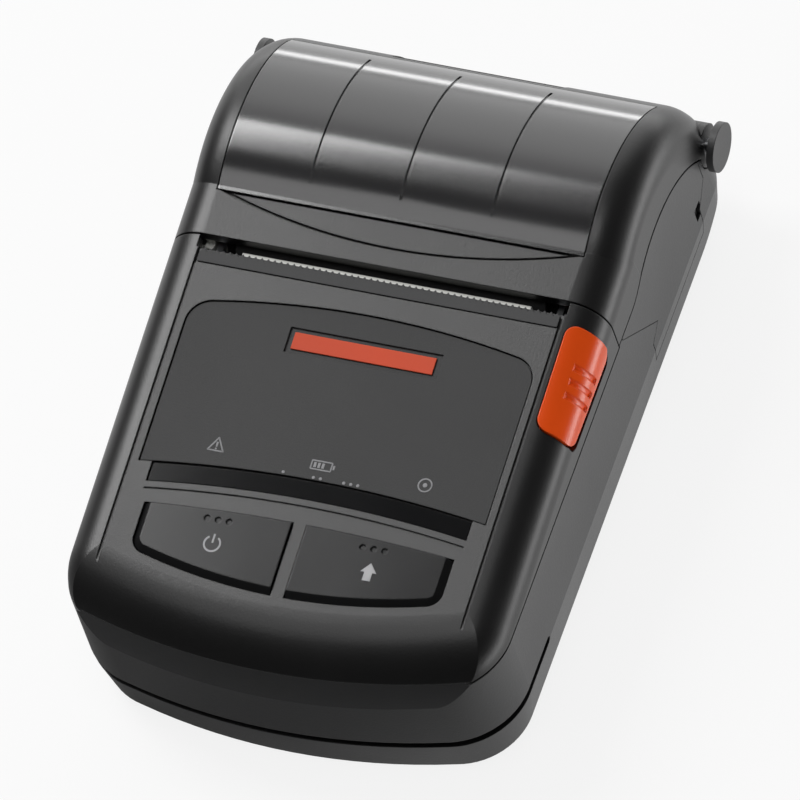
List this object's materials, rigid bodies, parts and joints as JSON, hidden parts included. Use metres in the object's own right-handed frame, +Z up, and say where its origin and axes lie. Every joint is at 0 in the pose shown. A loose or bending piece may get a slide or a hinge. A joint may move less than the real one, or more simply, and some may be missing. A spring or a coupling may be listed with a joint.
{
  "type": "portable receipt printer",
  "caption": "Hand-held thermal receipt printer with a drop-in paper roll, hinged windowed cover, sloping control panel and a cover-release button.",
  "frame": {"origin": "on the table under the middle of the printer", "axes": "+X to the right across the printer, +Y from the nose to the cover hinge, +Z up"},
  "size_m": [0.0868, 0.1286, 0.043],
  "materials": {
    "lower_housing": "satin",
    "upper_housing": "satin",
    "paper_cover": "satin",
    "cover_window": "gloss",
    "control_panel": "satin",
    "badge_inlay": "gloss",
    "indicator_lens": "gloss",
    "light_guides": "gloss",
    "indicator_leds": "gloss",
    "power_key": "gloss",
    "feed_key": "gloss",
    "key_switches": "satin",
    "open_button": "gloss",
    "open_spring": "satin",
    "release_lever": "satin",
    "hinge_pin": "satin",
    "strap_stud_right": "satin",
    "strap_stud_left": "satin",
    "tear_bar": "satin",
    "mechanism_frame": "satin",
    "print_head": "gloss",
    "head_heatsink": "satin",
    "head_spring": "satin",
    "platen_shaft": "satin",
    "platen_roller": "satin",
    "platen_bushings": "satin",
    "platen_gear": "satin",
    "idler_gear": "satin",
    "idler_pin": "satin",
    "motor_pinion": "gloss",
    "paper_motor": "satin",
    "paper_sensor": "satin",
    "paper_tray": "satin",
    "circuit_board": "satin",
    "board_parts": "satin",
    "battery_pack": "satin",
    "battery_contacts": "gloss",
    "battery_latch": "satin",
    "side_door": "satin",
    "door_pin": "satin",
    "power_socket": "satin",
    "data_socket": "satin",
    "housing_screws": "satin",
    "frame_screws": "satin"
  },
  "bodies": {
    "housing": {"lower_housing": "lower_housing", "upper_housing": "upper_housing", "control_panel": "control_panel", "badge_inlay": "badge_inlay", "indicator_lens": "indicator_lens", "light_guides": "light_guides", "indicator_leds": "indicator_leds", "key_switches": "key_switches", "open_spring": "open_spring", "hinge_pin": "hinge_pin", "strap_stud_right": "strap_stud_right", "strap_stud_left": "strap_stud_left", "tear_bar": "tear_bar", "mechanism_frame": "mechanism_frame", "head_spring": "head_spring", "idler_pin": "idler_pin", "paper_motor": "paper_motor", "paper_sensor": "paper_sensor", "paper_tray": "paper_tray", "circuit_board": "circuit_board", "board_parts": "board_parts", "battery_contacts": "battery_contacts", "door_pin": "door_pin", "power_socket": "power_socket", "data_socket": "data_socket", "housing_screws": "housing_screws", "frame_screws": "frame_screws"},
    "cover": {"paper_cover": "paper_cover", "cover_window": "cover_window", "platen_bushings": "platen_bushings"},
    "platen": {"platen_shaft": "platen_shaft", "platen_roller": "platen_roller", "platen_gear": "platen_gear"},
    "idler": {"idler_gear": "idler_gear"},
    "motor_rotor": {"motor_pinion": "motor_pinion"},
    "power_button": {"power_key": "power_key"},
    "feed_button": {"feed_key": "feed_key"},
    "open_button": {"open_button": "open_button"},
    "lever": {"release_lever": "release_lever"},
    "head": {"print_head": "print_head", "head_heatsink": "head_heatsink"},
    "battery": {"battery_pack": "battery_pack"},
    "latch": {"battery_latch": "battery_latch"},
    "door": {"side_door": "side_door"}
  },
  "joints": [
    {"name": "cover_hinge", "type": "hinge", "parent": "housing", "child": "cover", "pos_m": [0, 0.0598, 0.0192], "axis": [-1, 0, 0], "range_deg": [0, 95]},
    {"name": "platen_spin", "type": "hinge", "parent": "cover", "child": "platen", "pos_m": [0, 0.0171, 0.0324], "axis": [1, 0, 0], "continuous": true},
    {"name": "idler_spin", "type": "hinge", "parent": "housing", "child": "idler", "pos_m": [-0.034, 0.01055, 0.02781], "axis": [1, 0, 0], "continuous": true},
    {"name": "motor_spin", "type": "hinge", "parent": "housing", "child": "motor_rotor", "pos_m": [-0.034, 0.00148, 0.02358], "axis": [1, 0, 0], "continuous": true},
    {"name": "power_press", "type": "slide", "parent": "housing", "child": "power_button", "axis": [0, 0.1063, -0.9943], "range_m": [0, 0.0006], "stiffness_N_per_m": 900, "springref_m": -0.0006},
    {"name": "feed_press", "type": "slide", "parent": "housing", "child": "feed_button", "axis": [0, 0.1063, -0.9943], "range_m": [0, 0.0006], "stiffness_N_per_m": 900, "springref_m": -0.0006},
    {"name": "open_press", "type": "slide", "parent": "housing", "child": "open_button", "axis": [0, 0, -1], "range_m": [0, 0.0016], "stiffness_N_per_m": 600, "springref_m": -0.001, "deforming": ["open_spring"]},
    {"name": "lever_turn", "type": "hinge", "parent": "housing", "child": "lever", "pos_m": [0.034, 0.008, 0.0295], "axis": [1, 0, 0], "range_deg": [0, 15]},
    {"name": "head_pivot", "type": "hinge", "parent": "housing", "child": "head", "pos_m": [0, 0.01015, 0.023], "axis": [1, 0, 0], "range_deg": [0, 2], "stiffness_Nm_per_rad": 0.6, "springref_deg": -2.86},
    {"name": "battery_slide", "type": "slide", "parent": "housing", "child": "battery", "axis": [0, 0, -1], "range_m": [0, 0.019]},
    {"name": "latch_slide", "type": "slide", "parent": "housing", "child": "latch", "axis": [0, 1, 0], "range_m": [0, 0.0025], "stiffness_N_per_m": 150, "springref_m": -0.001},
    {"name": "door_hinge", "type": "hinge", "parent": "housing", "child": "door", "pos_m": [0.03955, 0.03, 0.0069], "axis": [0, 1, 0], "range_deg": [0, 85]}
  ],
  "couplings": [
    {"joint": "idler_spin", "follows": "platen_spin", "ratio": -1.6667},
    {"joint": "motor_spin", "follows": "platen_spin", "ratio": 3.8889},
    {"joint": "lever_turn", "follows": "open_press", "rad_per_m": 141.81}
  ]
}
